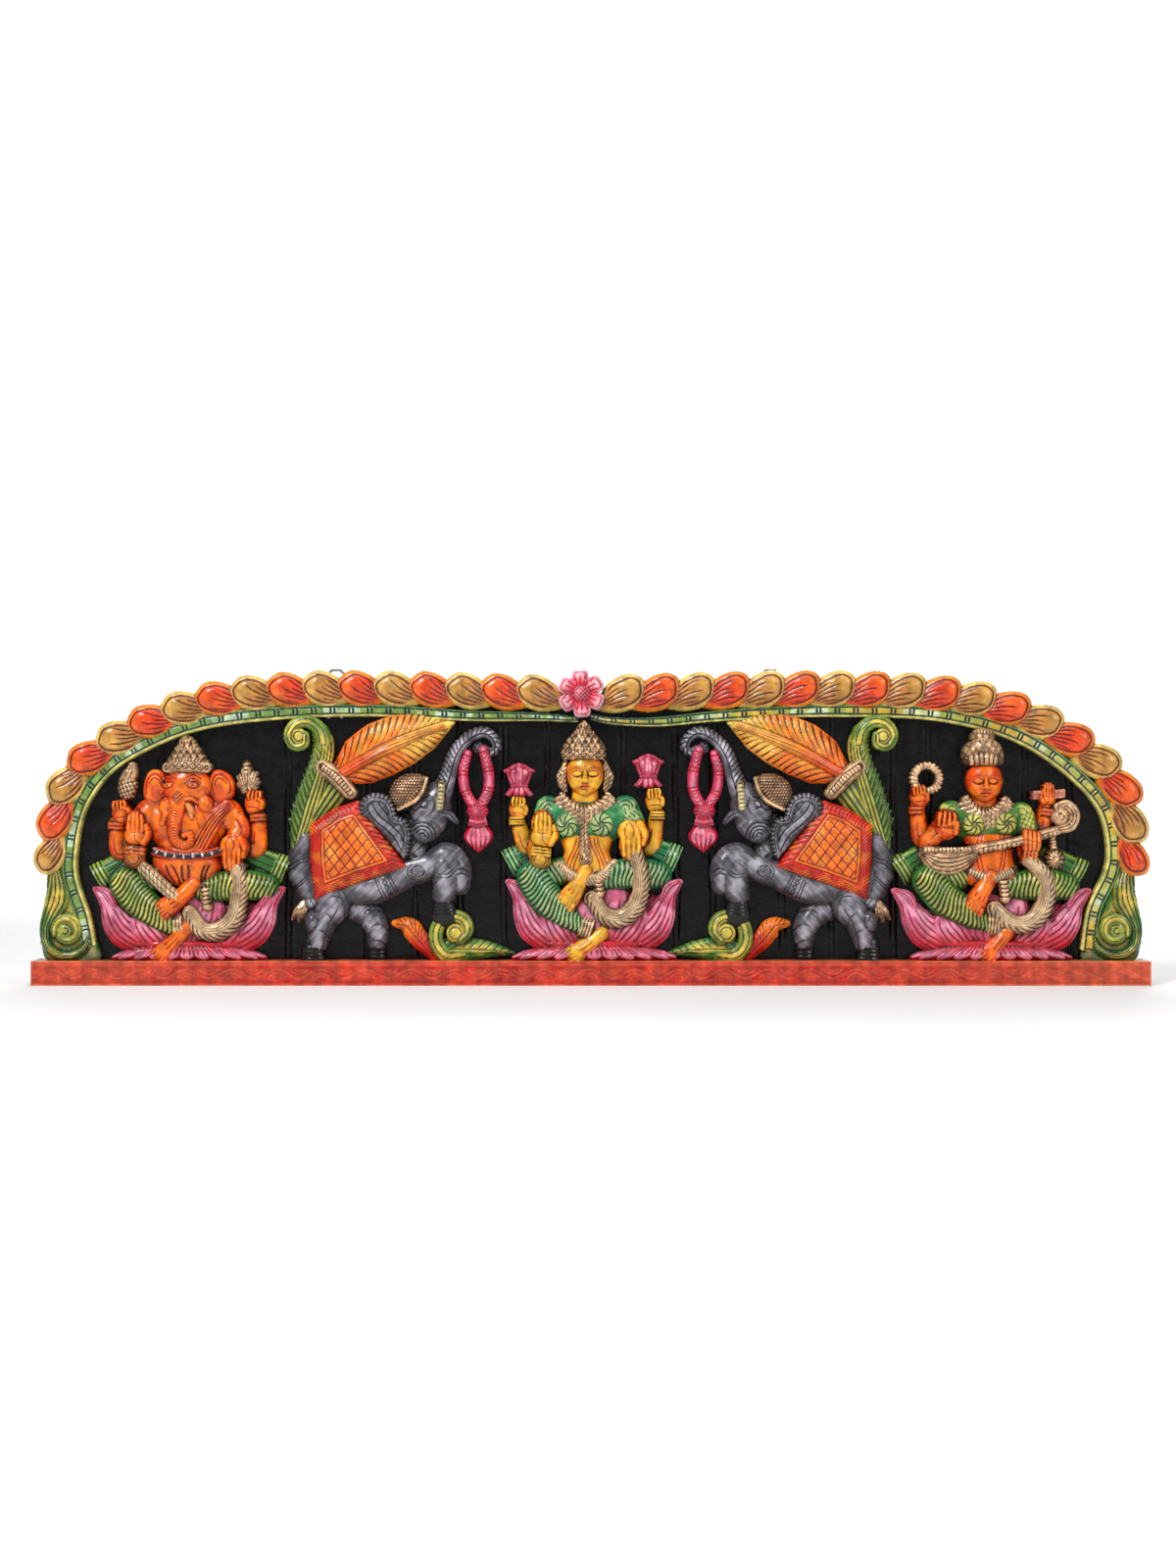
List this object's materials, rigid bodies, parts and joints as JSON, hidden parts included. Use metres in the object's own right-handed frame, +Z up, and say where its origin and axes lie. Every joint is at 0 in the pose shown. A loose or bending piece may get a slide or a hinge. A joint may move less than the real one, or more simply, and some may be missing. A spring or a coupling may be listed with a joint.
{
  "type": "carved wood wall panel",
  "caption": "Long arched wooden wall panel carved in relief with seated figures, elephants and a leaf border, on a flat rail.",
  "frame": {"origin": "on the underside, under the middle of the rail and halfway through the plank", "axes": "+X to the viewer's right along the panel, +Z up, the carved front faces -Y"},
  "size_m": [1.2193, 0.051, 0.3466],
  "materials": {
    "painted_wood": "glossy hand-painted enamel in many colours over carved wood",
    "bright_steel": "bright zinc-plated steel"
  },
  "bodies": {
    "root": {"carved_panel": "painted_wood", "hanger_left": "bright_steel", "hanger_left_screw_1": "bright_steel", "hanger_left_screw_2": "bright_steel", "hanger_right": "bright_steel", "hanger_right_screw_1": "bright_steel", "hanger_right_screw_2": "bright_steel"}
  },
  "joints": []
}
